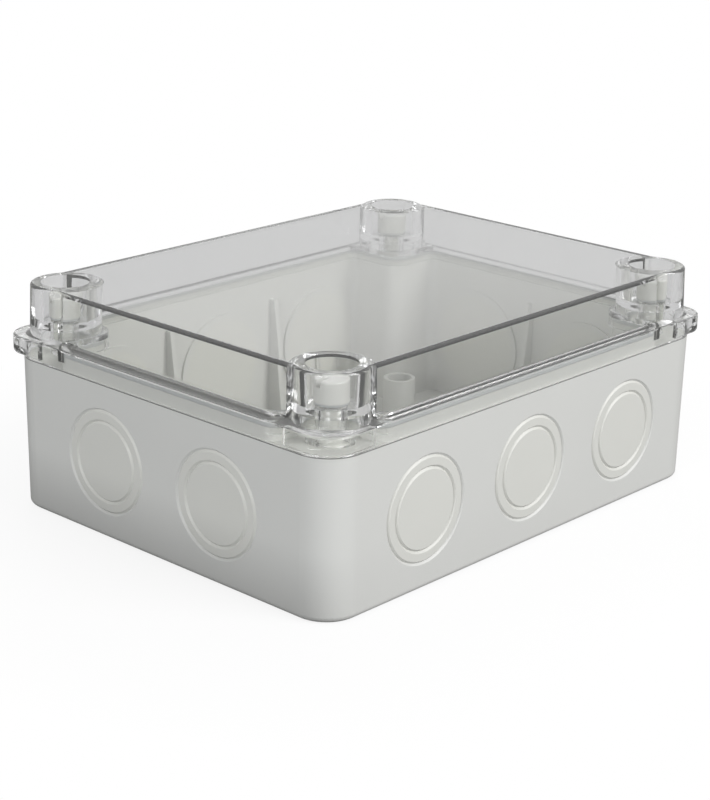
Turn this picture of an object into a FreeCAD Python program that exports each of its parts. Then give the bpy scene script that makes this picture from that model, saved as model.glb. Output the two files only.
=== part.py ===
import FreeCAD, Part
import math
import os

from FreeCAD import Vector

# Junction box with a drafted base, knockout entries on all four sides and a deep clear cover.
# Millimetres. Origin at the centre of the underside, X along the long side, Y along the short side, Z up.

# Base moulding, measured over its outside at the parting line.
BOX_LENGTH = 196.5
BOX_WIDTH = 152.2
BASE_HEIGHT = 54.5
CORNER_RADIUS = 12.6
DRAFT_DEGREES = 0.5
WALL = 2.8
FLOOR = 3.0
FOOT_RADIUS = 2.0

# Cross-shaped cavity: each corner of the box is a block outside the seal, cored from below.
POCKET_SPAN = 25.5
POCKET_WALL = 2.2
POCKET_RADIUS = 2.0
POCKET_DECK = 2.5
CAVITY_RADIUS = 4.0
BLOCK_RADIUS = 6.5

# Tongue round the cavity that presses into the seal.
TONGUE_THICKNESS = 1.2
TONGUE_HEIGHT = 4.5

# Pillars in the cored corners that take the cover screws.
PILLAR_RADIUS = 5.6
PILLAR_RIB = 1.6
PILLAR_RECESS = 1.0
PILLAR_BORE_DEPTH = 24.0

# Hollow posts over the wall-fixing holes, placed from the outsides of the box.
FIXING_INSET_X = 33.25
FIXING_INSET_Y = 35.1
FIXING_HOLE_RADIUS = 2.6
POST_RADIUS = 6.25
POST_BORE_RADIUS = 4.75
POST_TOP = 17.0

# Stiffening ribs inside the walls, between the entries.
RIB_THICKNESS = 1.8
RIB_FOOT = 8.0
RIB_HEAD = 2.0
RIB_DROP = 6.0

# Two-stage knockout entries: a disc inside a ring, marked by a V groove round each.
# Each wall has its entries at one pitch about its middle.
ENTRY_DROP = 27.0
ENTRY_PITCH = 53.2
SIDE_ENTRY_COUNT = 3
END_ENTRY_COUNT = 2
RING_RADIUS = 18.0
DISC_RADIUS = 14.0
GROOVE_HALF_WIDTH = 0.7
GROOVE_DEPTH = 0.6
LAND_MARGIN = 2.2
LAND_THICKNESS = 0.8

# Cover, with its heights measured from the parting line.
COVER_HEIGHT = 25.5
COVER_SETBACK_ENDS = 4.4
COVER_SETBACK_SIDES = 3.3
COVER_DRAFT_DEGREES = 2.1
COVER_WALL = 2.0
COVER_TOP = 2.0
COVER_EDGE_RADIUS = 1.0
COVER_INNER_RADIUS = 5.0
SKIRT_THICKNESS = 1.25
SKIRT_HEIGHT = 6.9
SHOULDER_HEIGHT = 1.5
LIP_THICKNESS = 1.3
LIP_DEPTH = 3.4

# Screw columns of the cover: they stand proud of its walls and share their draft.
COLUMN_INSET = 10.2
COLUMN_RADIUS = 11.9
COLUMN_BLEND = 4.0
COLUMN_INNER_RADIUS = 13.0
COLUMN_HOLLOW_RADIUS = 9.2
WELL_RADIUS = 8.4
WELL_FLOOR_RADIUS = 7.9
WELL_DEPTH_SHARE = 0.731
WELL_FLOOR_THICKNESS = 2.6
TUBE_RADIUS = 5.0

# Ears round the corners of the skirt.
EAR_PROUD = 1.75
EAR_SPAN = 18.0
EAR_RADIUS = 10.0
EAR_HEIGHT = 6.3
EAR_LIFT = 1.5
EAR_EDGE_RADIUS = 0.9

# Seal and screws.
SEAL_HEIGHT = 1.6
WASHER_RADIUS = 5.4
WASHER_THICKNESS = 1.0
HEAD_RADIUS = 5.7
HEAD_HEIGHT = 7.1
HEAD_EDGE = 0.6
SLOT_WIDTH = 1.7
SLOT_DEPTH = 2.2
SHANK_RADIUS = 2.9
SHANK_ENGAGEMENT = 10.5
SHANK_TIP = 1.2

# Clearances between pieces.
SKIRT_STEP = 0.15
SEAT_GAP = 0.1
SEAL_SIDE_GAP = 0.1
LIP_GAP = 0.3
TUBE_GAP = 0.3
TUBE_BORE_GAP = 0.4
WASHER_GAP = 0.15
THREAD_GAP = 0.05

# Worked out from the sizes above.
HALF_X = BOX_LENGTH / 2
HALF_Y = BOX_WIDTH / 2
TOTAL_HEIGHT = BASE_HEIGHT + COVER_HEIGHT
SKIRT_TOP = BASE_HEIGHT + SKIRT_HEIGHT
SHOULDER_TOP = SKIRT_TOP + SHOULDER_HEIGHT
ENTRY_HEIGHT = BASE_HEIGHT - ENTRY_DROP
FIXING_X = HALF_X - FIXING_INSET_X
FIXING_Y = HALF_Y - FIXING_INSET_Y
TONGUE_TOP = BASE_HEIGHT + TONGUE_HEIGHT
SEAL_TOP = TONGUE_TOP + SEAL_HEIGHT
SKIRT_BOTTOM = BASE_HEIGHT + SEAT_GAP
SCREW_X = HALF_X - COVER_SETBACK_ENDS - COLUMN_INSET
SCREW_Y = HALF_Y - COVER_SETBACK_SIDES - COLUMN_INSET
WELL_DEPTH = WELL_DEPTH_SHARE * (TOTAL_HEIGHT - SHOULDER_TOP)
WELL_FLOOR = TOTAL_HEIGHT - WELL_DEPTH
HEAD_SEAT = WELL_FLOOR + WASHER_THICKNESS
OVERRUN = 1.0
CORNERS = (("front_left", -1, -1), ("front_right", 1, -1), ("back_left", -1, 1), ("back_right", 1, 1))


def lean(height, degrees):
    """Sideways travel of a drafted wall over a height."""
    return height * math.tan(math.radians(degrees))


def rounded_outline(corners, z):
    """Closed wire through corners (x, y, radius), each one rounded by a tangent arc."""
    points = [Vector(x, y, z) for x, y, radius in corners]
    count = len(points)
    starts = []
    middles = []
    ends = []
    for index, (x, y, radius) in enumerate(corners):
        here = points[index]
        back = (points[index - 1] - here).normalize()
        ahead = (points[(index + 1) % count] - here).normalize()
        half_angle = back.getAngle(ahead) / 2
        reach = radius / math.tan(half_angle)
        inward = (back + ahead).normalize()
        starts.append(here + back * reach)
        ends.append(here + ahead * reach)
        middles.append(here + inward * (radius / math.sin(half_angle) - radius))
    edges = []
    for index in range(count):
        edges.append(Part.Arc(starts[index], middles[index], ends[index]).toShape())
        edges.append(Part.LineSegment(ends[index], starts[(index + 1) % count]).toShape())
    return Part.Wire(edges)


def prism(corners, bottom, top):
    """Straight solid on a rounded outline."""
    return Part.Face(rounded_outline(corners, bottom)).extrude(Vector(0, 0, top - bottom))


def tapered(corners_below, corners_above, bottom, top):
    """Solid between two rounded outlines with the same number of corners."""
    wires = [rounded_outline(corners_below, bottom), rounded_outline(corners_above, top)]
    return Part.makeLoft(wires, True, True)


def ring(outer_corners, inner_corners, bottom, top):
    """Straight ring between two rounded outlines."""
    return prism(outer_corners, bottom, top).cut(prism(inner_corners, bottom, top))


def cylinder(radius, bottom, top, x, y):
    """Upright cylinder."""
    return Part.makeCylinder(radius, top - bottom, Vector(x, y, bottom))


def rectangle(half_x, half_y, radius):
    """Corners of a rounded rectangle, anticlockwise."""
    return [
        (half_x, half_y, radius),
        (-half_x, half_y, radius),
        (-half_x, -half_y, radius),
        (half_x, -half_y, radius),
    ]


def spaced(count):
    """Places of a row of entries about the middle of its wall."""
    return [(index - (count - 1) / 2) * ENTRY_PITCH for index in range(count)]


def body_outline(inset):
    """Outside of the base at the parting line, moved inwards."""
    return rectangle(HALF_X - inset, HALF_Y - inset, CORNER_RADIUS - inset)


def cross_outline(half_x, half_y, notch_x, notch_y, tip_radius, block_radius):
    """Rounded cross: a rectangle that gives up a rectangle at each corner, anticlockwise."""
    corners = []
    for sign_x, sign_y in ((1, 1), (-1, 1), (-1, -1), (1, -1)):
        trio = [
            (sign_x * half_x, sign_y * notch_y, tip_radius),
            (sign_x * notch_x, sign_y * notch_y, block_radius),
            (sign_x * notch_x, sign_y * half_y, tip_radius),
        ]
        if sign_x * sign_y < 0:
            trio.reverse()
        corners.extend(trio)
    return corners


def seal_outline(offset):
    """Line of the cavity's wall face at the parting line, moved outwards by the offset."""
    return cross_outline(
        HALF_X - WALL + offset,
        HALF_Y - WALL + offset,
        HALF_X - POCKET_SPAN + offset,
        HALF_Y - POCKET_SPAN + offset,
        CAVITY_RADIUS + offset,
        BLOCK_RADIUS - offset,
    )


def pocket_outline(sign_x, sign_y, inset):
    """Cored corner between the outer walls and the walls of the cavity, anticlockwise."""
    far_x = HALF_X - WALL - inset
    far_y = HALF_Y - WALL - inset
    near_x = HALF_X - POCKET_SPAN + POCKET_WALL + inset
    near_y = HALF_Y - POCKET_SPAN + POCKET_WALL + inset
    corners = [
        (sign_x * near_x, sign_y * near_y, BLOCK_RADIUS - POCKET_WALL),
        (sign_x * far_x, sign_y * near_y, POCKET_RADIUS),
        (sign_x * far_x, sign_y * far_y, CORNER_RADIUS - WALL - inset),
        (sign_x * near_x, sign_y * far_y, POCKET_RADIUS),
    ]
    if sign_x * sign_y < 0:
        corners.reverse()
    return corners


def screw_pillar(sign_x, sign_y, pocket):
    """Pillar for one cover screw, tied to the walls of its cored corner by two crossing ribs."""
    x = sign_x * SCREW_X
    y = sign_y * SCREW_Y
    long_rib = Part.makeBox(POCKET_SPAN * 2, PILLAR_RIB, BASE_HEIGHT,
                            Vector(x - POCKET_SPAN, y - PILLAR_RIB / 2, PILLAR_RECESS))
    cross_rib = Part.makeBox(PILLAR_RIB, POCKET_SPAN * 2, BASE_HEIGHT,
                             Vector(x - PILLAR_RIB / 2, y - POCKET_SPAN, PILLAR_RECESS))
    ribs = long_rib.fuse(cross_rib).common(pocket)
    return cylinder(PILLAR_RADIUS, PILLAR_RECESS, BASE_HEIGHT - POCKET_DECK / 2, x, y).fuse(ribs)


def wall_rib(x, y, turn):
    """Rib with a widening foot; its back stands at (x, y) and it reaches inwards along the turn."""
    top = BASE_HEIGHT - RIB_DROP
    bottom = FLOOR / 2
    back = WALL / 2
    profile = Part.makePolygon([
        Vector(-back, 0, bottom),
        Vector(RIB_FOOT, 0, bottom),
        Vector(RIB_HEAD, 0, top),
        Vector(-back, 0, top),
        Vector(-back, 0, bottom),
    ])
    rib = Part.Face(profile).extrude(Vector(0, RIB_THICKNESS, 0))
    rib.translate(Vector(0, -RIB_THICKNESS / 2, 0))
    rib.rotate(Vector(0, 0, 0), Vector(0, 0, 1), turn)
    rib.translate(Vector(x, y, 0))
    return rib


def wall_ribs():
    """Ribs between neighbouring entries on all four walls."""
    face_x = HALF_X - WALL - lean(BASE_HEIGHT / 2, DRAFT_DEGREES)
    face_y = HALF_Y - WALL - lean(BASE_HEIGHT / 2, DRAFT_DEGREES)
    ribs = []
    for x in spaced(SIDE_ENTRY_COUNT - 1):
        ribs.append(wall_rib(x, -face_y, 90))
        ribs.append(wall_rib(x, face_y, -90))
    for y in spaced(END_ENTRY_COUNT - 1):
        ribs.append(wall_rib(-face_x, y, 0))
        ribs.append(wall_rib(face_x, y, 180))
    return ribs


def entries():
    """Name, point on the drafted outer face and outward normal of every knockout entry."""
    sink = lean(BASE_HEIGHT - ENTRY_HEIGHT, DRAFT_DEGREES)
    flat = math.cos(math.radians(DRAFT_DEGREES))
    drop = -math.sin(math.radians(DRAFT_DEGREES))
    places = []
    for index, x in enumerate(spaced(SIDE_ENTRY_COUNT)):
        for side, sign in (("front", -1), ("back", 1)):
            point = Vector(x, sign * (HALF_Y - sink), ENTRY_HEIGHT)
            places.append((f"{side}_{index + 1}", point, Vector(0, sign * flat, drop)))
    for index, y in enumerate(spaced(END_ENTRY_COUNT)):
        for side, sign in (("left", -1), ("right", 1)):
            point = Vector(sign * (HALF_X - sink), y, ENTRY_HEIGHT)
            places.append((f"{side}_{index + 1}", point, Vector(sign * flat, 0, drop)))
    return places


def entry_plug(radius, point, normal):
    """Cylinder through the wall at an entry."""
    start = point + normal * OVERRUN
    depth = WALL + LAND_THICKNESS + 2 * OVERRUN
    return Part.makeCylinder(radius, depth, start, normal * -1)


def entry_land(point, normal):
    """Thicker round land inside the wall, behind one entry."""
    start = point - normal * (WALL / 2)
    depth = WALL / 2 + LAND_THICKNESS
    return Part.makeCylinder(RING_RADIUS + LAND_MARGIN, depth, start, normal * -1)


def entry_groove(radius, point, normal):
    """V groove round an entry, as the ring that is cut away."""
    mouth = GROOVE_HALF_WIDTH * (1 + OVERRUN / GROOVE_DEPTH)
    profile = Part.makePolygon([
        Vector(radius - mouth, 0, OVERRUN),
        Vector(radius, 0, -GROOVE_DEPTH),
        Vector(radius + mouth, 0, OVERRUN),
        Vector(radius - mouth, 0, OVERRUN),
    ])
    groove = Part.Face(profile).revolve(Vector(0, 0, 0), Vector(0, 0, 1), 360)
    groove.Placement = FreeCAD.Placement(point, FreeCAD.Rotation(Vector(0, 0, 1), normal))
    return groove


def whole_base():
    """Base moulding before its entries are divided off."""
    shrink = lean(BASE_HEIGHT, DRAFT_DEGREES)
    outside = tapered(body_outline(shrink), body_outline(0), 0, BASE_HEIGHT)
    foot_edges = [edge for edge in outside.Edges if edge.BoundBox.ZMax < FOOT_RADIUS / 2]
    outside = outside.makeFillet(FOOT_RADIUS, foot_edges)
    inner_shrink = lean(BASE_HEIGHT - FLOOR, DRAFT_DEGREES)
    cavity = tapered(seal_outline(-inner_shrink), seal_outline(0), FLOOR, BASE_HEIGHT)
    base = outside.cut(cavity)
    for name, sign_x, sign_y in CORNERS:
        pocket = prism(pocket_outline(sign_x, sign_y, shrink), -OVERRUN, BASE_HEIGHT - POCKET_DECK)
        base = base.cut(pocket).fuse(screw_pillar(sign_x, sign_y, pocket))
    additions = [ring(seal_outline(TONGUE_THICKNESS), seal_outline(0), BASE_HEIGHT, TONGUE_TOP)]
    additions.extend(wall_ribs())
    for name, point, normal in entries():
        additions.append(entry_land(point, normal))
    bores = []
    for name, sign_x, sign_y in CORNERS:
        x = sign_x * FIXING_X
        y = sign_y * FIXING_Y
        additions.append(cylinder(POST_RADIUS, FLOOR / 2, POST_TOP, x, y))
        bores.append(cylinder(POST_BORE_RADIUS, FLOOR, POST_TOP + OVERRUN, x, y))
        bores.append(cylinder(FIXING_HOLE_RADIUS, -OVERRUN, FLOOR + OVERRUN, x, y))
        bores.append(cylinder(SHANK_RADIUS + THREAD_GAP, BASE_HEIGHT - PILLAR_BORE_DEPTH,
                              BASE_HEIGHT + OVERRUN, sign_x * SCREW_X, sign_y * SCREW_Y))
    return base.fuse(additions).cut(bores).removeSplitter()


def base_and_knockouts():
    """Base box with its open entries, and the disc and ring that close each one."""
    base = whole_base()
    pieces = {}
    plugs = []
    for name, point, normal in entries():
        plug = entry_plug(RING_RADIUS, point, normal)
        core = entry_plug(DISC_RADIUS, point, normal)
        disc_groove = entry_groove(DISC_RADIUS, point, normal)
        ring_groove = entry_groove(RING_RADIUS, point, normal)
        pieces[f"knockout_disc_{name}"] = base.common(core).cut(disc_groove)
        pieces[f"knockout_ring_{name}"] = base.common(plug.cut(core)).cut([disc_groove, ring_groove])
        plugs.extend([plug, ring_groove])
    pieces["base_box"] = base.cut(plugs)
    return pieces


def column_arcs(stand, radius):
    """Arcs (start, middle, end) from a wall onto a column and back, about the column's axis.

    The stand is the distance from the axis out to each wall.
    """
    along = math.sqrt((radius + COLUMN_BLEND) ** 2 - (stand + COLUMN_BLEND) ** 2)
    centre = Vector(stand + COLUMN_BLEND, -along, 0)
    foot = Vector(stand, -along, 0)
    touch = centre * (radius / (radius + COLUMN_BLEND))
    middle = centre + ((foot + touch) / 2 - centre).normalize() * COLUMN_BLEND
    blend = [(foot.x, foot.y), (middle.x, middle.y), (touch.x, touch.y)]
    crest = radius / math.sqrt(2)
    column = [(touch.x, touch.y), (crest, crest), (touch.y, touch.x)]
    return [blend, column, [(y, x) for x, y in reversed(blend)]]


def cover_outline(spread, z):
    """Outside of the cover, moved outwards by the spread: straight walls and four round columns."""
    quarter = column_arcs(COLUMN_INSET + spread, COLUMN_RADIUS + spread)
    arcs = []
    for sign_x, sign_y in ((1, 1), (-1, 1), (-1, -1), (1, -1)):
        turned = quarter
        if sign_x * sign_y < 0:
            turned = [list(reversed(arc)) for arc in reversed(quarter)]
        for arc in turned:
            arcs.append([Vector(sign_x * (SCREW_X + x), sign_y * (SCREW_Y + y), z) for x, y in arc])
    edges = []
    for index, (start, middle, end) in enumerate(arcs, 1):
        edges.append(Part.Arc(start, middle, end).toShape())
        if index % len(quarter) == 0:
            edges.append(Part.LineSegment(end, arcs[index % len(arcs)][0]).toShape())
    return Part.Wire(edges)


def cover_outside():
    """Outer form of the cover: skirt, shoulder, ears, drafted walls and columns."""
    spread = lean(TOTAL_HEIGHT - SHOULDER_TOP, COVER_DRAFT_DEGREES)
    foot_outline = cover_outline(spread, SHOULDER_TOP)
    dome = Part.makeLoft([foot_outline, cover_outline(0, TOTAL_HEIGHT)], True, True)
    top_edges = [edge for edge in dome.Edges if edge.BoundBox.ZMin > TOTAL_HEIGHT - COVER_EDGE_RADIUS]
    dome = dome.makeFillet(COVER_EDGE_RADIUS, top_edges)
    foot = Part.Face(foot_outline).extrude(Vector(0, 0, SKIRT_BOTTOM - SHOULDER_TOP))
    skirt = prism(body_outline(SKIRT_STEP), SKIRT_BOTTOM, SKIRT_TOP)
    shoulder = tapered(
        body_outline(SKIRT_STEP),
        rectangle(HALF_X - COVER_SETBACK_ENDS + spread, HALF_Y - COVER_SETBACK_SIDES + spread,
                  COVER_INNER_RADIUS + COVER_WALL),
        SKIRT_TOP, SHOULDER_TOP)
    return dome.fuse([foot, skirt, shoulder, ears()])


def ears():
    """Rounded ears that stand proud round the four corners of the skirt."""
    bottom = BASE_HEIGHT + EAR_LIFT
    top = bottom + EAR_HEIGHT
    band = prism(rectangle(HALF_X + EAR_PROUD, HALF_Y + EAR_PROUD, EAR_RADIUS), bottom, top)
    rims = [edge for edge in band.Edges if edge.BoundBox.ZLength < EAR_EDGE_RADIUS / 2]
    band = band.makeFillet(EAR_EDGE_RADIUS, rims)
    reach = EAR_SPAN + 2 * EAR_PROUD
    squares = []
    for name, sign_x, sign_y in CORNERS:
        near_x = HALF_X - EAR_SPAN if sign_x > 0 else EAR_SPAN - HALF_X - reach
        near_y = HALF_Y - EAR_SPAN if sign_y > 0 else EAR_SPAN - HALF_Y - reach
        squares.append(Part.makeBox(reach, reach, EAR_HEIGHT, Vector(near_x, near_y, bottom)))
    inside = prism(body_outline(SKIRT_STEP + SKIRT_THICKNESS / 2), bottom, top)
    return band.common(Part.makeCompound(squares)).cut(inside)


def cover_inside():
    """Everything that is hollow in the cover above its flange."""
    ceiling = TOTAL_HEIGHT - COVER_TOP
    spread = lean(ceiling - SHOULDER_TOP, COVER_DRAFT_DEGREES)
    high_x = HALF_X - COVER_SETBACK_ENDS - COVER_WALL
    high_y = HALF_Y - COVER_SETBACK_SIDES - COVER_WALL
    chamber = tapered(
        rectangle(high_x + spread, high_y + spread, COVER_INNER_RADIUS),
        rectangle(high_x, high_y, COVER_INNER_RADIUS), SHOULDER_TOP, ceiling)
    for name, sign_x, sign_y in CORNERS:
        chamber = chamber.cut(cylinder(COLUMN_INNER_RADIUS, SKIRT_TOP, TOTAL_HEIGHT,
                                       sign_x * SCREW_X, sign_y * SCREW_Y))
    lip_inset = LIP_GAP + LIP_THICKNESS
    mouth = prism(
        cross_outline(
            high_x + spread, high_y + spread,
            HALF_X - POCKET_SPAN - lip_inset, HALF_Y - POCKET_SPAN - lip_inset,
            COVER_INNER_RADIUS, BLOCK_RADIUS + lip_inset),
        SEAL_TOP - OVERRUN, SHOULDER_TOP)
    return [chamber, mouth]


def cover():
    """Clear cover with its seal groove, screw wells and spacer tubes."""
    body = cover_outside()
    under = prism(body_outline(SKIRT_STEP + SKIRT_THICKNESS), BASE_HEIGHT - OVERRUN, SEAL_TOP)
    body = body.cut([under] + cover_inside())
    groove_face = TONGUE_THICKNESS + 2 * SEAL_SIDE_GAP
    lip_bottom = SEAL_TOP - LIP_DEPTH
    groove_wall = ring(seal_outline(groove_face + SKIRT_THICKNESS), seal_outline(groove_face),
                       lip_bottom, SEAL_TOP)
    lip = ring(seal_outline(-LIP_GAP), seal_outline(-LIP_GAP - LIP_THICKNESS), lip_bottom, SEAL_TOP)
    additions = [groove_wall.common(under), lip]
    hollows = []
    bores = []
    for name, sign_x, sign_y in CORNERS:
        x = sign_x * SCREW_X
        y = sign_y * SCREW_Y
        hollow_top = WELL_FLOOR - WELL_FLOOR_THICKNESS
        hollows.append(cylinder(COLUMN_HOLLOW_RADIUS, SEAL_TOP - OVERRUN, hollow_top, x, y))
        additions.append(cylinder(TUBE_RADIUS, BASE_HEIGHT + TUBE_GAP, hollow_top + OVERRUN, x, y))
        well = Part.makeCone(WELL_FLOOR_RADIUS, WELL_RADIUS, WELL_DEPTH, Vector(x, y, WELL_FLOOR))
        bores.append(well)
        bores.append(cylinder(SHANK_RADIUS + TUBE_BORE_GAP, BASE_HEIGHT, WELL_FLOOR + OVERRUN, x, y))
    body = body.cut(hollows).fuse(additions).cut(bores)
    return body.removeSplitter()


def gasket():
    """Rubber seal in the groove of the cover, resting on the tongue of the base."""
    return ring(seal_outline(TONGUE_THICKNESS + SEAL_SIDE_GAP), seal_outline(-LIP_GAP + SEAL_SIDE_GAP),
                TONGUE_TOP, SEAL_TOP)


def screw_washer(x, y):
    """Sealing washer under one screw head."""
    hole = cylinder(SHANK_RADIUS + WASHER_GAP, WELL_FLOOR, HEAD_SEAT, x, y)
    return cylinder(WASHER_RADIUS, WELL_FLOOR, HEAD_SEAT, x, y).cut(hole)


def cover_screw(x, y):
    """Slotted plastic cover screw, turned in one profile; its fine thread is left off."""
    head_top = HEAD_SEAT + HEAD_HEIGHT
    tip = BASE_HEIGHT - SHANK_ENGAGEMENT
    profile = Part.makePolygon([
        Vector(0, 0, tip),
        Vector(SHANK_RADIUS - SHANK_TIP, 0, tip),
        Vector(SHANK_RADIUS, 0, tip + SHANK_TIP),
        Vector(SHANK_RADIUS, 0, HEAD_SEAT),
        Vector(HEAD_RADIUS, 0, HEAD_SEAT),
        Vector(HEAD_RADIUS, 0, head_top - HEAD_EDGE),
        Vector(HEAD_RADIUS - HEAD_EDGE, 0, head_top),
        Vector(0, 0, head_top),
        Vector(0, 0, tip),
    ])
    screw = Part.Face(profile).revolve(Vector(0, 0, 0), Vector(0, 0, 1), 360)
    slot = Part.makeBox(2 * HEAD_RADIUS + 2 * OVERRUN, SLOT_WIDTH, SLOT_DEPTH,
                        Vector(-HEAD_RADIUS - OVERRUN, -SLOT_WIDTH / 2, head_top - SLOT_DEPTH))
    screw = screw.cut(slot)
    screw.translate(Vector(x, y, 0))
    return screw


def build():
    """All named pieces of the junction box."""
    pieces = base_and_knockouts()
    pieces["cover"] = cover()
    pieces["gasket"] = gasket()
    for name, sign_x, sign_y in CORNERS:
        x = sign_x * SCREW_X
        y = sign_y * SCREW_Y
        pieces[f"cover_screw_{name}"] = cover_screw(x, y)
        pieces[f"screw_washer_{name}"] = screw_washer(x, y)
    return pieces


os.makedirs("parts", exist_ok=True)
for node, shape in build().items():
    print(node, "solids", len(shape.Solids), "valid", shape.isValid(), "volume", round(shape.Volume, 1))
    shape.exportStep(f"parts/{node}.step")
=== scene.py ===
"""Blender scene of a junction box: drafted grey base, knockout entries and a deep clear cover.

Metres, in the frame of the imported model: +X along the long side, +Y along the short side, +Z up
from the mounting face through the cover.
"""

import logging
import math
from dataclasses import dataclass, field
from enum import Enum

import bmesh
import bpy
import numpy as np
from mathutils import Matrix, Vector


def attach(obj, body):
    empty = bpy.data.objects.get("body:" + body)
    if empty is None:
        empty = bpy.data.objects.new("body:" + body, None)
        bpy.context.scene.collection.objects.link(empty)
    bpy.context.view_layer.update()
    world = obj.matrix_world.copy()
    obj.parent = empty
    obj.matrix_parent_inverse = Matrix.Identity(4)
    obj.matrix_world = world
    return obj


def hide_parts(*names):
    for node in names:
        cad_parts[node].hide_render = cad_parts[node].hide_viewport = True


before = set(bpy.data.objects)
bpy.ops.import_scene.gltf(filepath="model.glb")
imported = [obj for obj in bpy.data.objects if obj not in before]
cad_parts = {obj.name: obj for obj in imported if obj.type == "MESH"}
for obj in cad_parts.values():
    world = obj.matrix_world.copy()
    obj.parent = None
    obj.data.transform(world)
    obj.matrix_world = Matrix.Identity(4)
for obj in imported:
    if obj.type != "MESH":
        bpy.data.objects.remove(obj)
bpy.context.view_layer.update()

MM = 0.001
MERGE_DISTANCE = 2e-6
log = logging.getLogger("junction_box")

Colour = tuple[float, float, float]
ColourAlpha = tuple[float, float, float, float]
Point = tuple[float, float, float]


class Corner(Enum):
    """The four corners of the box, each with its name and the signs of its X and Y."""

    FRONT_LEFT = ("front_left", -1, -1)
    FRONT_RIGHT = ("front_right", 1, -1)
    BACK_LEFT = ("back_left", -1, 1)
    BACK_RIGHT = ("back_right", 1, 1)

    @property
    def label(self) -> str:
        """Name of the corner, as the nodes and bodies end with it."""
        return self.value[0]


class Slot(Enum):
    """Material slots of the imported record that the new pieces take."""

    SEAL = "seal_rubber"
    SCREW = "screw_nylon"


@dataclass(frozen=True)
class BoxSizes:
    """Sizes that the fitted pieces share with the solid model, in metres."""

    half_x: float = 98.25 * MM
    half_y: float = 76.1 * MM
    parting: float = 54.5 * MM
    corner_radius: float = 12.6 * MM
    wall: float = 2.8 * MM
    pocket_span: float = 25.5 * MM
    cavity_radius: float = 4.0 * MM
    block_radius: float = 6.5 * MM
    tongue_top: float = 59.0 * MM
    seal_top: float = 60.6 * MM
    screw_x: float = 83.65 * MM
    screw_y: float = 62.6 * MM
    well_floor: float = 67.5 * MM


# Meshes worked out with numpy.


@dataclass(frozen=True)
class Patch:
    """A surface on a grid of rows and columns of points, either of which may run round and close."""

    points: np.ndarray
    rows_close: bool = False
    columns_close: bool = False

    def quads(self) -> np.ndarray:
        """Corner numbers of the grid's faces.

        Returns:
            One row of four point numbers for each face.
        """
        rows, columns = self.points.shape[:2]
        row = np.arange(rows if self.rows_close else rows - 1)[:, None]
        column = np.arange(columns if self.columns_close else columns - 1)[None, :]
        next_row = (row + 1) % rows
        next_column = (column + 1) % columns
        corners = [
            row * columns + column,
            row * columns + next_column,
            next_row * columns + next_column,
            next_row * columns + column,
        ]
        grid = (row.size, column.size)
        return np.stack([np.broadcast_to(corner, grid) for corner in corners], -1).reshape(-1, 4)


def mesh_of(name: str, patches: list[Patch], crease_deg: float) -> bpy.types.Object:
    """Joins patches into one closed mesh, merges its seams and poles and turns its faces outwards.

    Args:
        name: Name of the object.
        patches: Surfaces that meet edge to edge, or closed surfaces that stand in one another.
        crease_deg: Edges that turn by more than this stay sharp.

    Returns:
        The object, at the origin, linked to the scene.
    """
    points = []
    faces = []
    start = 0
    for patch in patches:
        flat = patch.points.reshape(-1, 3)
        points.append(flat)
        faces.append(patch.quads() + start)
        start += len(flat)
    mesh = bpy.data.meshes.new(name)
    mesh.from_pydata(np.concatenate(points).tolist(), [], np.concatenate(faces).tolist())
    work = bmesh.new()
    work.from_mesh(mesh)
    bmesh.ops.remove_doubles(work, verts=work.verts, dist=MERGE_DISTANCE)
    bmesh.ops.dissolve_degenerate(work, edges=work.edges, dist=MERGE_DISTANCE)
    bmesh.ops.recalc_face_normals(work, faces=work.faces)
    work.to_mesh(mesh)
    work.free()
    mesh.shade_smooth()
    mesh.set_sharp_from_angle(angle=math.radians(crease_deg))
    piece = bpy.data.objects.new(name, mesh)
    bpy.context.scene.collection.objects.link(piece)
    return piece


def round_turns(steps: int) -> np.ndarray:
    """Even angles once round, without the last, which is the first again."""
    return np.linspace(0.0, 2.0 * np.pi, steps, endpoint=False)


def turned(radii: np.ndarray, heights: np.ndarray, axis: tuple[float, float]) -> np.ndarray:
    """Points round an upright axis.

    With n columns, row i and column j lie at turn t = 2 pi j / n, at
    (x0 + r_ij cos t, y0 + r_ij sin t, z_i).

    Args:
        radii: Distance of each point from the axis.
        heights: Height of each row.
        axis: X and Y of the axis.

    Returns:
        The grid of points.
    """
    turn = round_turns(radii.shape[1])
    upward = np.broadcast_to(heights[:, None], radii.shape)
    return np.stack([axis[0] + radii * np.cos(turn), axis[1] + radii * np.sin(turn), upward], -1)


def soft_section(width: float, height: float, squareness: float, count: int) -> np.ndarray:
    """Rounded section: a superellipse, |x/a|^n + |y/b|^n = 1.

    Args:
        width: Full width of the section.
        height: Full height of the section.
        squareness: Exponent n; 2 is an ellipse and higher values come nearer to a rectangle.
        count: Points round the section.

    Returns:
        Points (across, up) about the section's centre.
    """
    turn = round_turns(count)
    across = np.sign(np.cos(turn)) * np.abs(np.cos(turn)) ** (2.0 / squareness)
    upward = np.sign(np.sin(turn)) * np.abs(np.sin(turn)) ** (2.0 / squareness)
    return np.stack([across * width / 2, upward * height / 2], -1)


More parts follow.
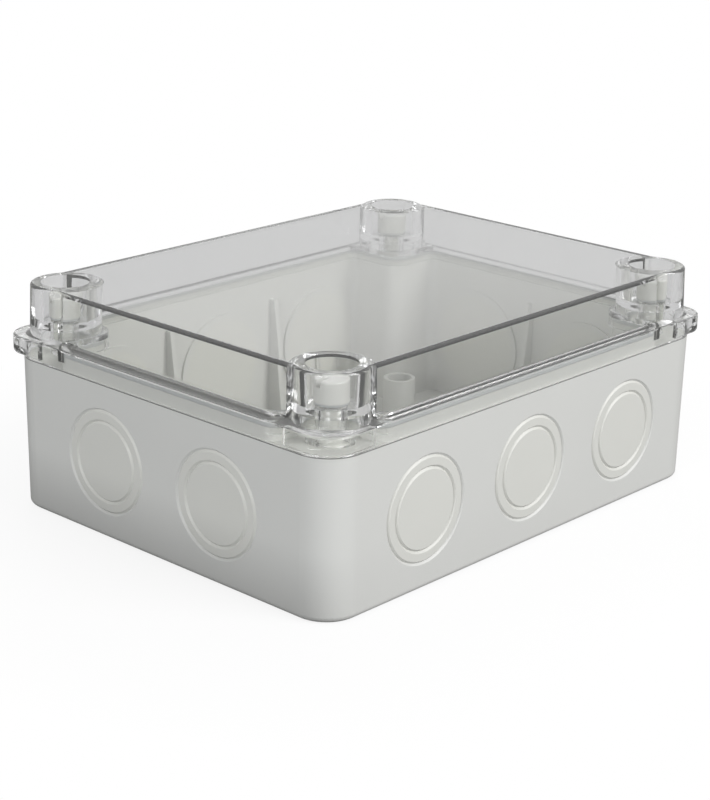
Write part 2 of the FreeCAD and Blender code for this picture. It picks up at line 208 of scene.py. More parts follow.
def rounded_path(corners: np.ndarray, per_corner: int) -> tuple[np.ndarray, np.ndarray]:
    """Points and outward normals round a closed outline whose corners are tangent arcs.

    An arc of radius r touches both sides of its corner: it starts r / tan(h) from the corner and its
    centre lies r / sin(h) from it, along the bisector, where h is half of the corner's angle.

    Args:
        corners: x, y and radius of each corner, anticlockwise.
        per_corner: Points on each arc.

    Returns:
        Points and unit normals, one row each.
    """
    here = corners[:, :2]
    radius = corners[:, 2][:, None]
    back = np.roll(here, 1, axis=0) - here
    ahead = np.roll(here, -1, axis=0) - here
    back /= np.linalg.norm(back, axis=1, keepdims=True)
    ahead /= np.linalg.norm(ahead, axis=1, keepdims=True)
    half = np.arccos(np.sum(back * ahead, axis=1, keepdims=True)) / 2
    bisector = (back + ahead) / np.linalg.norm(back + ahead, axis=1, keepdims=True)
    centre = here + bisector * radius / np.sin(half)
    first = here + back * radius / np.tan(half) - centre
    last = here + ahead * radius / np.tan(half) - centre
    start = np.arctan2(first[:, 1], first[:, 0])
    sweep = np.arctan2(last[:, 1], last[:, 0]) - start
    sweep = (sweep + np.pi) % (2.0 * np.pi) - np.pi
    angle = start[:, None] + sweep[:, None] * np.linspace(0.0, 1.0, per_corner)[None, :]
    spoke = np.stack([np.cos(angle), np.sin(angle)], -1)
    points = centre[:, None, :] + radius[:, :, None] * spoke
    normals = spoke * np.sign(sweep)[:, None, None]
    return points.reshape(-1, 2), normals.reshape(-1, 2)


def swept(section: np.ndarray, path: np.ndarray, normals: np.ndarray, height: float) -> Patch:
    """Closed section carried round a closed level path.

    A section point (a, b) at path point P with outward normal N goes to P + a N, raised by b.

    Args:
        section: Points (outwards, up) of the section.
        path: Points of the path.
        normals: Outward normals of the path.
        height: Height of the section's centre.

    Returns:
        The patch, closed both ways.
    """
    level = path[:, None, :] + normals[:, None, :] * section[None, :, 0, None]
    upward = np.broadcast_to(height + section[None, :, 1], level.shape[:2])
    return Patch(np.concatenate([level, upward[:, :, None]], -1), rows_close=True, columns_close=True)


def cross_corners(sizes: BoxSizes, offset: float) -> np.ndarray:
    """Corners of the cross-shaped line of the cavity's wall, moved outwards.

    Args:
        sizes: Sizes of the box.
        offset: How far the line is moved outwards.

    Returns:
        x, y and radius of the twelve corners, anticlockwise.
    """
    tip_x = sizes.half_x - sizes.wall + offset
    tip_y = sizes.half_y - sizes.wall + offset
    notch_x = sizes.half_x - sizes.pocket_span + offset
    notch_y = sizes.half_y - sizes.pocket_span + offset
    tip = sizes.cavity_radius + offset
    notch = sizes.block_radius - offset
    quarter = np.array([[tip_x, notch_y, tip], [notch_x, notch_y, notch], [notch_x, tip_y, tip]])
    mirrored = quarter[::-1]
    flip_x = np.array([-1.0, 1.0, 1.0])
    flip_y = np.array([1.0, -1.0, 1.0])
    return np.concatenate([quarter, mirrored * flip_x, quarter * flip_x * flip_y, mirrored * flip_y])


# Shader maths and materials.


class Field:
    """A number that varies over a surface. Arithmetic on it adds Math nodes to its material."""

    def __init__(self, recipe: "Recipe", socket: bpy.types.NodeSocket) -> None:
        """Wraps an output socket of a recipe's node."""
        self.recipe = recipe
        self.socket = socket

    def _math(self, operation: str, first: "Field | float", second: "Field | float") -> "Field":
        """One Math node on two values."""
        node = self.recipe.node("ShaderNodeMath", {"operation": operation}, {0: first, 1: second})
        return Field(self.recipe, node.outputs[0])

    def __add__(self, other: "Field | float") -> "Field":
        """This value plus another."""
        return self._math("ADD", self, other)

    def __radd__(self, other: float) -> "Field":
        """A number plus this value."""
        return self._math("ADD", other, self)

    def __sub__(self, other: "Field | float") -> "Field":
        """This value less another."""
        return self._math("SUBTRACT", self, other)

    def __rsub__(self, other: float) -> "Field":
        """A number less this value."""
        return self._math("SUBTRACT", other, self)

    def __mul__(self, other: "Field | float") -> "Field":
        """This value times another."""
        return self._math("MULTIPLY", self, other)

    def __rmul__(self, other: float) -> "Field":
        """A number times this value."""
        return self._math("MULTIPLY", other, self)

    def __pow__(self, other: float) -> "Field":
        """This value raised to a power."""
        return self._math("POWER", self, other)

    def __abs__(self) -> "Field":
        """This value without its sign."""
        return self._math("ABSOLUTE", self, 0.0)

    def larger(self, other: "Field | float") -> "Field":
        """The larger of this value and another."""
        return self._math("MAXIMUM", self, other)

    def smaller(self, other: "Field | float") -> "Field":
        """The smaller of this value and another."""
        return self._math("MINIMUM", self, other)


class Recipe:
    """The node tree of one material, with short ways to add nodes."""

    MIX_SHARE = 0
    MIX_FIRST = 6
    MIX_SECOND = 7
    MIX_RESULT = 2

    def __init__(self, tree: bpy.types.NodeTree) -> None:
        """Clears a node tree and starts it again."""
        self.tree = tree
        tree.nodes.clear()

    def node(self, kind: str, settings: dict[str, str], values: dict[str | int, object]) -> bpy.types.Node:
        """Adds a node.

        Args:
            kind: Blender's name of the node type.
            settings: Properties of the node, set first.
            values: Input socket name or number, with a number, colour, Field or socket for it.

        Returns:
            The node.
        """
        made = self.tree.nodes.new(kind)
        for key, setting in settings.items():
            setattr(made, key, setting)
        for key, value in values.items():
            if isinstance(value, Field):
                self.tree.links.new(value.socket, made.inputs[key])
            elif isinstance(value, bpy.types.NodeSocket):
                self.tree.links.new(value, made.inputs[key])
            else:
                made.inputs[key].default_value = value
        return made

    def noise(self, feature: float, detail: float) -> Field:
        """Noise in the object's own coordinates.

        Args:
            feature: Size of its lumps, in metres.
            detail: Octaves of finer noise.

        Returns:
            Values about 0.5.
        """
        place = self.node("ShaderNodeTexCoord", {}, {})
        made = self.node("ShaderNodeTexNoise", {}, {
            "Vector": place.outputs["Object"], "Scale": 1.0 / feature, "Detail": detail})
        return Field(self, made.outputs[0])

    def place(self) -> tuple[Field, Field, Field]:
        """X, Y and Z in the object's own coordinates."""
        source = self.node("ShaderNodeTexCoord", {}, {})
        parts = self.node("ShaderNodeSeparateXYZ", {}, {0: source.outputs["Object"]})
        return tuple(Field(self, output) for output in parts.outputs)

    def blend(
        self, share: Field, first: ColourAlpha | bpy.types.NodeSocket, second: ColourAlpha
    ) -> bpy.types.NodeSocket:
        """Colour between two colours.

        Args:
            share: 0 for the first colour and 1 for the second.
            first: The first colour, or the socket that gives it.
            second: The second colour.

        Returns:
            The socket of the mixed colour.
        """
        made = self.node("ShaderNodeMix", {"data_type": "RGBA"}, {
            self.MIX_SHARE: share, self.MIX_FIRST: first, self.MIX_SECOND: second})
        return made.outputs[self.MIX_RESULT]

    def either(self, share: Field, first: bpy.types.Node, second: bpy.types.Node) -> bpy.types.NodeSocket:
        """The first shader where the share is 0 and the second where it is 1."""
        made = self.node("ShaderNodeMixShader", {}, {0: share, 1: first.outputs[0], 2: second.outputs[0]})
        return made.outputs[0]

    def bump(self, height: Field, depth: float, strength: float) -> bpy.types.NodeSocket:
        """Surface normal from a height field, whose unit height is depth metres."""
        made = self.node("ShaderNodeBump", {}, {"Height": height, "Distance": depth, "Strength": strength})
        return made.outputs["Normal"]

    def finish(self, shader: bpy.types.NodeSocket) -> None:
        """Sends a shader to the material's surface."""
        self.node("ShaderNodeOutputMaterial", {}, {"Surface": shader})


def new_recipe(name: str) -> tuple[bpy.types.Material, Recipe]:
    """Makes a material.

    Args:
        name: Name of the material.

    Returns:
        The material and its empty recipe.
    """
    material = bpy.data.materials.new(name)
    material.use_nodes = True
    return material, Recipe(material.node_tree)


def rgba(colour: Colour) -> ColourAlpha:
    """A colour with full alpha."""
    return (*colour, 1.0)


@dataclass(frozen=True)
class PaintedJointShade:
    """Painted shade: a dark line on the rim's outer edge, standing in for the shadow in the joint between
    base and cover.
    """

    sizes: BoxSizes
    # Colour of the painted joint shade.
    colour: Colour = (0.16, 0.16, 0.16)
    width: float = 0.35 * MM
    height: float = 0.30 * MM
    fade: float = 0.15 * MM

    def share(self, recipe: Recipe) -> Field:
        """Where the painted shade line is.

        With q the part of (|x|, |y|) beyond the centres of the corner arcs, a point lies
        R - |q| inside the outline, where R is the arcs' radius. The line takes what is within the
        width of the outline and within the height of the parting plane.

        Args:
            recipe: The material's recipe.

        Returns:
            1 on the line and 0 off it, with a soft edge.
        """
        x, y, z = recipe.place()
        radius = self.sizes.corner_radius
        beyond_x = (abs(x) - (self.sizes.half_x - radius)).larger(0.0)
        beyond_y = (abs(y) - (self.sizes.half_y - radius)).larger(0.0)
        inside = radius - (beyond_x * beyond_x + beyond_y * beyond_y) ** 0.5
        near_edge = (self.width - inside) * (1.0 / self.fade)
        near_top = (z - (self.sizes.parting - self.height)) * (1.0 / self.fade)
        return near_edge.smaller(near_top).larger(0.0).smaller(1.0)


@dataclass(frozen=True)
class MouldedPlastic:
    """Opaque moulded plastic with a fine spark-eroded grain and a faint cloudiness."""

    name: str
    colour: Colour
    cloud_colour: Colour
    roughness: float = 0.46
    sweep_roughness: float = 0.10
    grain_roughness: float = 0.08
    cloud: float = 26 * MM
    sweep_per_cloud: float = 2.2
    grain: float = 0.45 * MM
    grain_depth: float = 0.012 * MM
    grain_strength: float = 0.6
    sheen_level: float = 0.42
    painted_joint_shade: PaintedJointShade | None = None

    def material(self) -> bpy.types.Material:
        """Builds the material: clouded colour, grained bump and a slightly uneven gloss.

        Returns:
            The material.
        """
        material, recipe = new_recipe(self.name)
        clouds = recipe.noise(self.cloud, detail=3.0)
        grain = recipe.noise(self.grain, detail=2.0)
        sweep = recipe.noise(self.cloud * self.sweep_per_cloud, detail=1.0)
        colour = recipe.blend(clouds, rgba(self.colour), rgba(self.cloud_colour))
        # Painted shade of the joint with the cover, darkening the rim's top outer edge.
        if self.painted_joint_shade:
            colour = recipe.blend(self.painted_joint_shade.share(recipe), colour, rgba(self.painted_joint_shade.colour))
        uneven = (sweep - 0.5) * self.sweep_roughness
        rough_grain = (grain - 0.5) * self.grain_roughness
        shader = recipe.node("ShaderNodeBsdfPrincipled", {}, {
            "Base Color": colour,
            "Roughness": self.roughness + uneven + rough_grain,
            "Specular IOR Level": self.sheen_level,
            "Normal": recipe.bump(grain, self.grain_depth, self.grain_strength),
        })
        recipe.finish(shader.outputs[0])
        return material


@dataclass(frozen=True)
class ClearPlastic:
    """Clear polished polycarbonate that lets lamp light through to what it covers.

    A small share of haze lightens the edges, where a ray is caught inside the plastic. The shoulder
    between the skirt and the walls is less polished than the rest.
    """

    name: str = "clear_polycarbonate"
    colour: Colour = (0.947, 0.948, 0.952)
    shade: Colour = (0.916, 0.919, 0.903)
    clarity: float = 0.965
    roughness: float = 0.02
    ior: float = 1.50
    ripple: float = 30 * MM
    ripple_depth: float = 0.10 * MM
    ripple_strength: float = 0.3
    shoulder_middle: float = 62.15 * MM
    shoulder_reach: float = 1.0 * MM
    shoulder_roughness: float = 0.22

    def material(self) -> bpy.types.Material:
        """Builds the material: a refracting shader, and plain transparency for rays from lamps.

        The shoulder's share is 1 up to half of its reach above and below its middle, and falls
        evenly to 0 at the whole reach.

        Returns:
            The material.
        """
        material, recipe = new_recipe(self.name)
        flow = recipe.noise(self.ripple, detail=0.0)
        _, _, z = recipe.place()
        off_shoulder = abs(z - self.shoulder_middle) * (1.0 / self.shoulder_reach)
        on_shoulder = (2.0 - 2.0 * off_shoulder).larger(0.0).smaller(1.0)
        glass = recipe.node("ShaderNodeBsdfPrincipled", {}, {
            "Base Color": rgba(self.colour),
            "Roughness": self.roughness + on_shoulder * self.shoulder_roughness,
            "IOR": self.ior,
            "Transmission Weight": self.clarity,
            "Normal": recipe.bump(flow, self.ripple_depth, self.ripple_strength),
        })
        see_through = recipe.node("ShaderNodeBsdfTransparent", {}, {"Color": rgba(self.shade)})
        path = recipe.node("ShaderNodeLightPath", {}, {})
        from_lamp = Field(recipe, path.outputs["Is Shadow Ray"])
        from_matt = Field(recipe, path.outputs["Is Diffuse Ray"])
        recipe.finish(recipe.either(from_lamp.larger(from_matt), glass, see_through))
        return material


@dataclass(frozen=True)
class SealRubber:
    """Soft dull rubber of the seal and the washers."""

    name: str = "seal_rubber"
    colour: Colour = (0.40, 0.41, 0.42)
    bloom_colour: Colour = (0.50, 0.51, 0.52)
    bloom: float = 7 * MM
    roughness: float = 0.72
    pore_roughness: float = 0.2
    pore: float = 0.5 * MM
    pore_depth: float = 0.03 * MM
    pore_strength: float = 0.5

    def material(self) -> bpy.types.Material:
        """Builds the material: pale bloom in patches over a fine pored surface.

        Returns:
            The material.
        """
        material, recipe = new_recipe(self.name)
        patches = recipe.noise(self.bloom, detail=3.0)
        pores = recipe.noise(self.pore, detail=3.0)
        shader = recipe.node("ShaderNodeBsdfPrincipled", {}, {
            "Base Color": recipe.blend(patches, rgba(self.colour), rgba(self.bloom_colour)),
            "Roughness": self.roughness + (pores - 0.5) * self.pore_roughness,
            "Normal": recipe.bump(pores, self.pore_depth, self.pore_strength),
        })
        recipe.finish(shader.outputs[0])
        return material


class Sight:
    """How bright the surroundings look, by the kind of ray that reaches them.

    They are white to the camera. Gloss and the clear plastic show them dimmer, as a pale grey
    backdrop, and light that only falls on matt surfaces doesn't count as seen.
    """

    BACKDROP_LEVEL = 0.64

    def __init__(self, recipe: Recipe, gloss_level: float = BACKDROP_LEVEL) -> None:
        """Adds the fields to a recipe.

        The field seen is 1 for rays of sight, and level is how bright they find the surroundings.

        Args:
            recipe: The material's recipe.
            gloss_level: Brightness of the surroundings in a gloss.
        """
        path = recipe.node("ShaderNodeLightPath", {}, {})
        camera = Field(recipe, path.outputs["Is Camera Ray"])
        glossy = Field(recipe, path.outputs["Is Glossy Ray"])
        through = Field(recipe, path.outputs["Is Transmission Ray"])
        self.seen = camera.larger(glossy).larger(through)
        self.level = camera + (glossy * gloss_level).larger(through * self.BACKDROP_LEVEL)


@dataclass(frozen=True)
class FloorWhite:
    """White studio floor that keeps part of the shadow that falls on it.

    The camera sees it as white. The clear cover shows it as the dimmer backdrop, gloss shows it
    dimmer still, and it throws little light back up at the box.
    """

    name: str = "studio_floor"
    lit_colour: Colour = (0.90, 0.90, 0.90)
    dim_colour: Colour = (0.14, 0.14, 0.14)
    glow_colour: Colour = (1.0, 1.0, 1.0)
    gloss_level: float = 0.20
    glow_share: float = 0.80
    shadow_reach: float = 0.20

    def material(self) -> bpy.types.Material:
        """Builds the material: mostly plain white to what is seen, and matt to the lamps.

        The share of plain white grows with the square of the distance from the box's middle, and is
        whole beyond the shadow's reach.

        Returns:
            The material.
        """
        material, recipe = new_recipe(self.name)
        x, y, _ = recipe.place()
        far = ((x * x + y * y) * (1.0 / self.shadow_reach ** 2)).smaller(1.0)
        share = self.glow_share + far * (1.0 - self.glow_share)
        sight = Sight(recipe, self.gloss_level)
        colour = recipe.blend(sight.seen, rgba(self.dim_colour), rgba(self.lit_colour))
        matt = recipe.node("ShaderNodeBsdfDiffuse", {}, {"Color": colour})
        glow = recipe.node("ShaderNodeEmission", {}, {
            "Color": rgba(self.glow_colour), "Strength": sight.level})
        recipe.finish(recipe.either(sight.seen * share, matt, glow))
        return material


# The pieces of the box.


def dress(piece: bpy.types.Object, material: bpy.types.Material, body: str) -> bpy.types.Object:
    """Gives a new piece its material and the body that it moves with.

    Args:
        piece: The finished piece.
        material: Its material.
        body: The body that carries it.

    Returns:
        The same piece.
    """
    piece.data.materials.clear()
    piece.data.materials.append(material)
    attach(piece, body)
    log.info("%s rides on %s", piece.name, body)
    return piece


def finish_node(node: str, material: bpy.types.Material) -> None:
    """Gives a solid's own mesh its material.

    Args:
        node: The solid's node.
        material: Its material.
    """
    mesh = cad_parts[node].data
    mesh.materials.clear()
    mesh.materials.append(material)
    log.info("%s keeps its own form", node)


@dataclass
class BaseBox:
    """The drafted base with its knockout entries."""

    shell_plastic: MouldedPlastic = MouldedPlastic(
        "grey_base_plastic",
        colour=(0.603, 0.606, 0.588),
        cloud_colour=(0.625, 0.628, 0.608),
        # Painted shade along the rim where the cover meets the base.
        painted_joint_shade=PaintedJointShade(BoxSizes()),
    )
    entry_plastic: MouldedPlastic = MouldedPlastic(
        "grey_entry_plastic",
        colour=(0.622, 0.624, 0.590),
        cloud_colour=(0.640, 0.641, 0.608),
        cloud=14 * MM,
    )

    def build(self) -> None:
        """Dresses the base and every disc and ring of its entries."""
        shell = self.shell_plastic.material()
        entry = self.entry_plastic.material()
        finish_node("base_box", shell)
        for node in sorted(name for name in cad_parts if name.startswith("knockout_")):
            finish_node(node, entry)


@dataclass
class ClearCover:
    """The clear cover, with the seal in its groove."""

    sizes: BoxSizes
    body: str = "cover"
    plastic: ClearPlastic = field(default_factory=ClearPlastic)
    rubber: SealRubber = field(default_factory=SealRubber)
    seal_width: float = 1.5 * MM
    seal_offset: float = 0.55 * MM
    seal_squareness: float = 5.0
    seal_crease_deg: float = 60.0
    points_per_corner: int = 10
    points_round_section: int = 24

    def build(self) -> None:
        """Builds and dresses the cover and its seal."""
        finish_node("cover", self.plastic.material())
        seal = self.make_seal()
        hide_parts("gasket")
        dress(seal, self.rubber.material(), self.body)

    def make_seal(self) -> bpy.types.Object:
        """Round-cornered rubber section carried round the cross-shaped groove.

        Returns:
            The seal.
        """
        path, normals = rounded_path(cross_corners(self.sizes, self.seal_offset), self.points_per_corner)
        height = self.sizes.seal_top - self.sizes.tongue_top
        section = soft_section(self.seal_width, height, self.seal_squareness, self.points_round_section)
        middle = (self.sizes.seal_top + self.sizes.tongue_top) / 2
        return mesh_of("seal_ring", [swept(section, path, normals, middle)], self.seal_crease_deg)


@dataclass
class CoverScrew:
    """A white slotted nylon screw with its sealing washer, in one corner's well.

    The thread's own measures, such as a ridge's half width and where the thread starts and the neck
    begins, are shares of its pitch. Its height at the start is a share of the full ridge. The names
    in capitals say how many points lie along each stretch of a surface.
    """

    SIDE_STEPS = 15
    SLOT_STEPS = 5
    EDGE_STEPS = 7
    CROWN_STEPS = 9
    SHANK_STEPS = 40
    THREAD_ROWS = 90
    WASHER_STEPS = 64
    WASHER_SECTION_STEPS = 24

    sizes: BoxSizes
    corner: Corner
    nylon: bpy.types.Material
    rubber: bpy.types.Material
    head_radius: float = 5.7 * MM
    head_height: float = 7.1 * MM
    head_round: float = 0.7 * MM
    slot_width: float = 1.7 * MM
    slot_depth: float = 2.2 * MM
    washer_radius: float = 5.4 * MM
    washer_hole: float = 3.05 * MM
    washer_thickness: float = 1.0 * MM
    shank_radius: float = 2.9 * MM
    core_radius: float = 2.3 * MM
    shank_length: float = 24.5 * MM
    thread_length: float = 12.5 * MM
    pitch: float = 1.8 * MM
    ridge_half_width: float = 0.34
    thread_start: float = 0.25
    thread_start_height: float = 0.15
    neck_run: float = 0.6
    neck_relief: float = 0.15 * MM
    tip_relief: float = 0.5 * MM
    sink: float = 0.4 * MM
    washer_squareness: float = 5.0
    screw_crease_deg: float = 40.0
    washer_crease_deg: float = 60.0

    @property
    def seat(self) -> float:
        """Height of the underside of the head."""
        return self.sizes.well_floor + self.washer_thickness

    @property
    def axis(self) -> tuple[float, float]:
        """X and Y of the screw's axis."""
        _, sign_x, sign_y = self.corner.value
        return sign_x * self.sizes.screw_x, sign_y * self.sizes.screw_y

    def build(self) -> None:
        """Builds and dresses the screw and its washer."""
        label = self.corner.label
        screw = mesh_of("nylon_screw_" + label, [self.head(), self.shank()], self.screw_crease_deg)
        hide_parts("cover_screw_" + label)
        dress(screw, self.nylon, "screw_" + label)
        washer = mesh_of("seal_washer_" + label, [self.washer()], self.washer_crease_deg)
        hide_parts("screw_washer_" + label)
        dress(washer, self.rubber, "cover")

    def head(self) -> Patch:
        """Slotted cylinder head, as upright sections across the slot.

        A section at distance v from the slot's middle is as high as the head, or as the slot's floor
        where v lies inside the slot. At height z its half width is sqrt(R(z)^2 - v^2), where R(z) is
        the head's radius, drawn in at the top edge by a quarter circle.

        Returns:
            The patch, one closed section after another along the slot's cross direction.
        """
        top = self.seat + self.head_height
        floor = top - self.slot_depth
        half_slot = self.slot_width / 2
        slot_angle = math.asin(half_slot / self.head_radius)
        side = self.head_radius * np.sin(np.linspace(slot_angle, np.pi / 2, self.SIDE_STEPS))
        middle = np.linspace(-half_slot, half_slot, self.SLOT_STEPS)
        across = np.concatenate([-side[::-1], middle, side])
        side_top = np.full(len(side), top)
        ceiling = np.concatenate([side_top, np.full(len(middle), floor), side_top])
        arc = np.linspace(0.0, np.pi / 2, self.EDGE_STEPS)
        lower = np.array([self.seat, floor - self.head_round / 2])
        heights = np.concatenate([lower, top - self.head_round + self.head_round * np.sin(arc)])
        radii = np.concatenate([
            np.full(len(lower), self.head_radius),
            self.head_radius - self.head_round + self.head_round * np.cos(arc),
        ])
        spread = np.sqrt(np.clip(radii[None, :] ** 2 - across[:, None] ** 2, 0.0, None))
        from_side = np.clip(self.head_radius - np.abs(across), 0.0, self.head_round)[:, None]
        reach = np.sqrt(from_side * (2 * self.head_round - from_side))
        limit = np.minimum(ceiling[:, None], top - self.head_round + reach)
        level = np.minimum(heights[None, :], limit)
        inner = np.linspace(1.0, -1.0, self.CROWN_STEPS)[1:-1]
        crown_spread = spread[:, -1:] * inner[None, :]
        crown_level = np.broadcast_to(level[:, -1:], crown_spread.shape)
        foot_spread = spread[:, :1] * inner[::-1][None, :]
        foot_level = np.broadcast_to(level[:, :1], foot_spread.shape)
        along = np.concatenate([spread, crown_spread, -spread[:, ::-1], foot_spread], 1)
        upward = np.concatenate([level, crown_level, level[:, ::-1], foot_level], 1)
        aside = np.broadcast_to(across[:, None], along.shape)
        axis_x, axis_y = self.axis
        return Patch(np.stack([axis_x + along, axis_y + aside, upward], -1), columns_close=True)

    def shank(self) -> Patch:
        """Plain neck, threaded end and blunt tip, as one surface round the axis.

        The radius at turn t and height z is the core's plus a ridge that follows the saw of
        z / pitch - t / (2 pi). The ridge grows from a low start at the tip and runs out at the neck.

        Returns:
            The patch, from a pole inside the head to a pole at the tip.
        """
        turn = round_turns(self.SHANK_STEPS)
        tip = self.seat - self.shank_length
        thread_top = tip + self.thread_length
        root = self.seat + self.sink
        rows = np.linspace(tip + self.thread_start * self.pitch, thread_top, self.THREAD_ROWS)
        phase = (rows[:, None] / self.pitch - turn[None, :] / (2.0 * np.pi)) % 1.0
        ridge = np.clip(1.0 - np.abs(phase - 0.5) / self.ridge_half_width, 0.0, 1.0)
        run_in = np.clip((rows - rows[0]) / self.pitch, self.thread_start_height, 1.0)
        run_out = np.clip((thread_top - rows) / self.pitch, 0.0, 1.0)
        grown = (run_in * run_out)[:, None]
        threaded = self.core_radius + (self.shank_radius - self.core_radius) * ridge * grown
        pole = np.zeros((1, len(turn)))
        tip_edge = np.full((1, len(turn)), self.core_radius - self.tip_relief)
        neck = np.full((2, len(turn)), self.shank_radius - self.neck_relief)
        heights = np.concatenate([[tip, tip], rows, [thread_top + self.neck_run * self.pitch, root, root]])
        radii = np.concatenate([pole, tip_edge, threaded, neck, pole])
        return Patch(turned(radii, heights, self.axis), columns_close=True)

    def washer(self) -> Patch:
        """Flat rubber ring with soft edges.

        Returns:
            The patch, closed both ways.
        """
        section = soft_section(
            self.washer_radius - self.washer_hole,
            self.washer_thickness,
            self.washer_squareness,
            self.WASHER_SECTION_STEPS,
        )
        radii = section[:, :1] + (self.washer_radius + self.washer_hole) / 2
        heights = section[:, 1] + (self.sizes.well_floor + self.washer_thickness / 2)
        ring = turned(np.repeat(radii, self.WASHER_STEPS, axis=1), heights, self.axis)
        return Patch(ring, rows_close=True, columns_close=True)


@dataclass
class Fasteners:
    """The four cover screws and their washers, which share two materials."""

    sizes: BoxSizes
    nylon: MouldedPlastic = MouldedPlastic(
        "white_nylon",
        colour=(0.61, 0.61, 0.59),
        cloud_colour=(0.65, 0.65, 0.63),
        roughness=0.38,
        cloud=4 * MM,
    )
    rubber: SealRubber = SealRubber("washer_rubber")

    def build(self) -> None:
        """Builds a screw and a washer in each corner."""
        nylon = self.nylon.material()
        rubber = self.rubber.material()
        for corner in Corner:
            CoverScrew(self.sizes, corner, nylon, rubber).build()


# The studio and the camera.


def flat_board(name: str, corners: list[Point], material: bpy.types.Material) -> bpy.types.Object:
    """A flat board.

    Args:
        name: Name of the board.
        corners: Its four corners, in order round it.
        material: Its material.

    Returns:
        The board, linked to the scene.
    """
    mesh = bpy.data.meshes.new(name)
    mesh.from_pydata(corners, [], [(0, 1, 2, 3)])
    mesh.materials.append(material)
    board = bpy.data.objects.new(name, mesh)
    bpy.context.scene.collection.objects.link(board)
    return board


@dataclass(frozen=True)
class SoftBox:
    """A square lamp that shines at a point of the box, with its power in watts."""

    name: str
    place: Point
    size: float
    power: float
    aim: Point = (0.0, 0.0, 0.04)
    colour: Colour = (1.0, 1.0, 1.0)

    def build(self) -> None:
        """Hangs the lamp and turns it to what it lights."""
        lamp = bpy.data.lights.new(self.name, "AREA")
        lamp.shape = "SQUARE"
        lamp.size = self.size
        lamp.energy = self.power
        lamp.color = self.colour
        holder = bpy.data.objects.new(self.name, lamp)
        holder.location = self.place
        towards = Vector(self.aim) - Vector(self.place)
        holder.rotation_euler = towards.to_track_quat("-Z", "Y").to_euler()
        bpy.context.scene.collection.objects.link(holder)


@dataclass(frozen=True)
class Flag:
    """Low board on the floor that shades the foot of the left wall from the fill lamp.

    Only light meets it: rays of sight pass through.
    """

    name: str = "foot_flag"
    colour: Colour = (0.02, 0.02, 0.02)
    place_x: float = -0.20
    half_width: float = 0.20
    height: float = 0.022

    def build(self) -> None:
        """Stands the board beside the box."""
        x = self.place_x
        ends = (-self.half_width, self.half_width)
        foot = [(x, y, 0.0) for y in ends]
        head = [(x, y, self.height) for y in reversed(ends)]
        board = flat_board(self.name, foot + head, self.material())

    def material(self) -> bpy.types.Material:
        """Builds the material: black to light, and clear to sight.

        Returns:
            The material.
        """
        material, recipe = new_recipe(self.name)
        black = recipe.node("ShaderNodeBsdfDiffuse", {}, {"Color": rgba(self.colour)})
        clear = recipe.node("ShaderNodeBsdfTransparent", {}, {})
        recipe.finish(recipe.either(Sight(recipe).seen, black, clear))
        return material


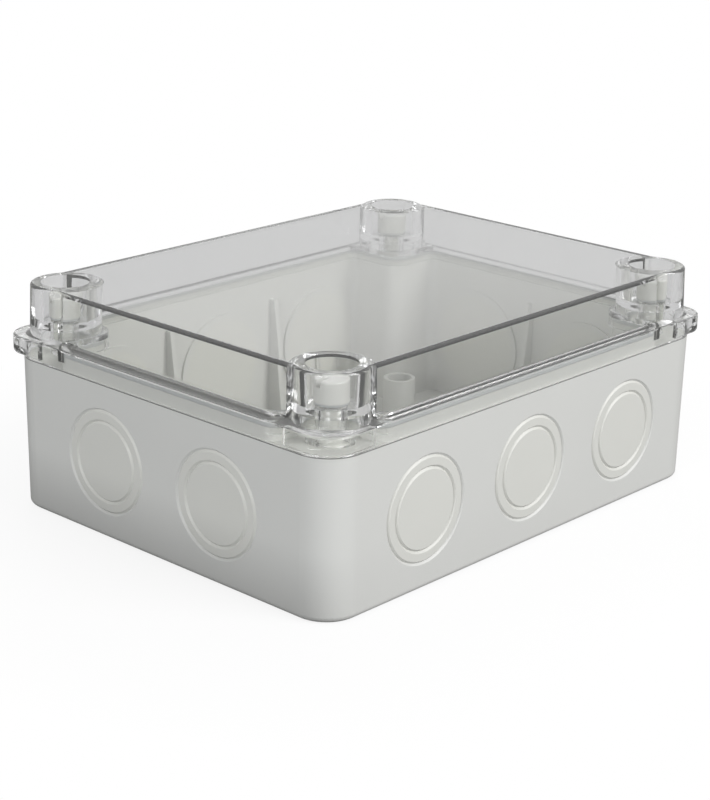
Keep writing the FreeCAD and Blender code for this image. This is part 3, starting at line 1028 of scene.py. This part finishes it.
@dataclass(frozen=True)
class Studio:
    """White floor, even pale surroundings, three soft lamps and the flag."""

    floor_half: float = 3.0
    floor_drop: float = 0.15 * MM
    ambient: float = 0.525
    surround_colour: Colour = (1.0, 1.0, 1.0)
    floor: FloorWhite = field(default_factory=FloorWhite)
    flag: Flag = field(default_factory=Flag)
    lamps: tuple[SoftBox, ...] = (
        SoftBox("key_softbox", place=(0.45, -1.45, 1.00), size=1.0, power=24.2),
        SoftBox("fill_softbox", place=(-1.55, -0.55, 0.28), size=0.8, power=15.2, colour=(0.97, 0.985, 1.0)),
        SoftBox("back_softbox", place=(1.00, 1.10, 1.25), size=1.0, power=7.0),
    )

    def build(self) -> None:
        """Lays the floor, lights the scene and sets how its light is shown."""
        quarters = ((-1, -1), (1, -1), (1, 1), (-1, 1))
        corners = [(self.floor_half * x, self.floor_half * y, -self.floor_drop) for x, y in quarters]
        floor = flat_board(self.floor.name, corners, self.floor.material())
        self.flag.build()
        for lamp in self.lamps:
            lamp.build()
        self.build_world()
        bpy.context.scene.view_settings.view_transform = "Standard"

    def build_world(self) -> None:
        """Even surroundings: bright where they are seen, and dimmer as a source of light."""
        world = bpy.data.worlds.new("studio_world")
        world.use_nodes = True
        recipe = Recipe(world.node_tree)
        sight = Sight(recipe)
        strength = (1.0 - sight.seen) * self.ambient + sight.level
        glow = recipe.node("ShaderNodeBackground", {}, {
            "Color": rgba(self.surround_colour), "Strength": strength})
        recipe.node("ShaderNodeOutputWorld", {}, {"Surface": glow.outputs[0]})
        bpy.context.scene.world = world


@dataclass(frozen=True)
class PhotographView:
    """The camera at the photograph's angle: it looks at the origin and is then slid sideways and up.

    Its focal length is in pixels of a picture as high as the frame.
    """

    azimuth_deg: float = -47.595
    elevation_deg: float = 18.835
    roll_deg: float = 1.212
    distance: float = 718.895 * MM
    slide_right: float = -2.389 * MM
    slide_up: float = 30.989 * MM
    focal_pixels: float = 1977.67
    frame_height: int = 800
    sensor_mm: float = 36.0
    clip_start: float = 0.01

    def build(self) -> None:
        """Places the camera and makes it the scene's."""
        azimuth = math.radians(self.azimuth_deg)
        elevation = math.radians(self.elevation_deg)
        roll = math.radians(self.roll_deg)
        level_share = math.cos(elevation)
        back = Vector((
            math.sin(azimuth) * level_share, -math.cos(azimuth) * level_share, math.sin(elevation)))
        level = (-back).cross(Vector((0.0, 0.0, 1.0))).normalized()
        raised = level.cross(-back)
        right = level * math.cos(roll) + raised * math.sin(roll)
        upward = raised * math.cos(roll) - level * math.sin(roll)
        place = back * self.distance + right * self.slide_right + upward * self.slide_up
        lens = bpy.data.cameras.new("photograph_camera")
        lens.sensor_width = self.sensor_mm
        lens.lens = self.focal_pixels * self.sensor_mm / self.frame_height
        lens.clip_start = self.clip_start
        holder = bpy.data.objects.new("photograph_camera", lens)
        turn = Matrix((right, upward, back)).transposed().to_4x4()
        holder.matrix_world = Matrix.Translation(place) @ turn
        bpy.context.scene.collection.objects.link(holder)
        bpy.context.scene.camera = holder


def main() -> None:
    """Builds the camera, the studio and every piece of the box."""
    logging.basicConfig(level=logging.INFO, format="%(name)s: %(message)s")
    sizes = BoxSizes()
    PhotographView().build()
    Studio().build()
    BaseBox().build()
    ClearCover(sizes).build()
    Fasteners(sizes).build()


if __name__ == "__main__":
    main()
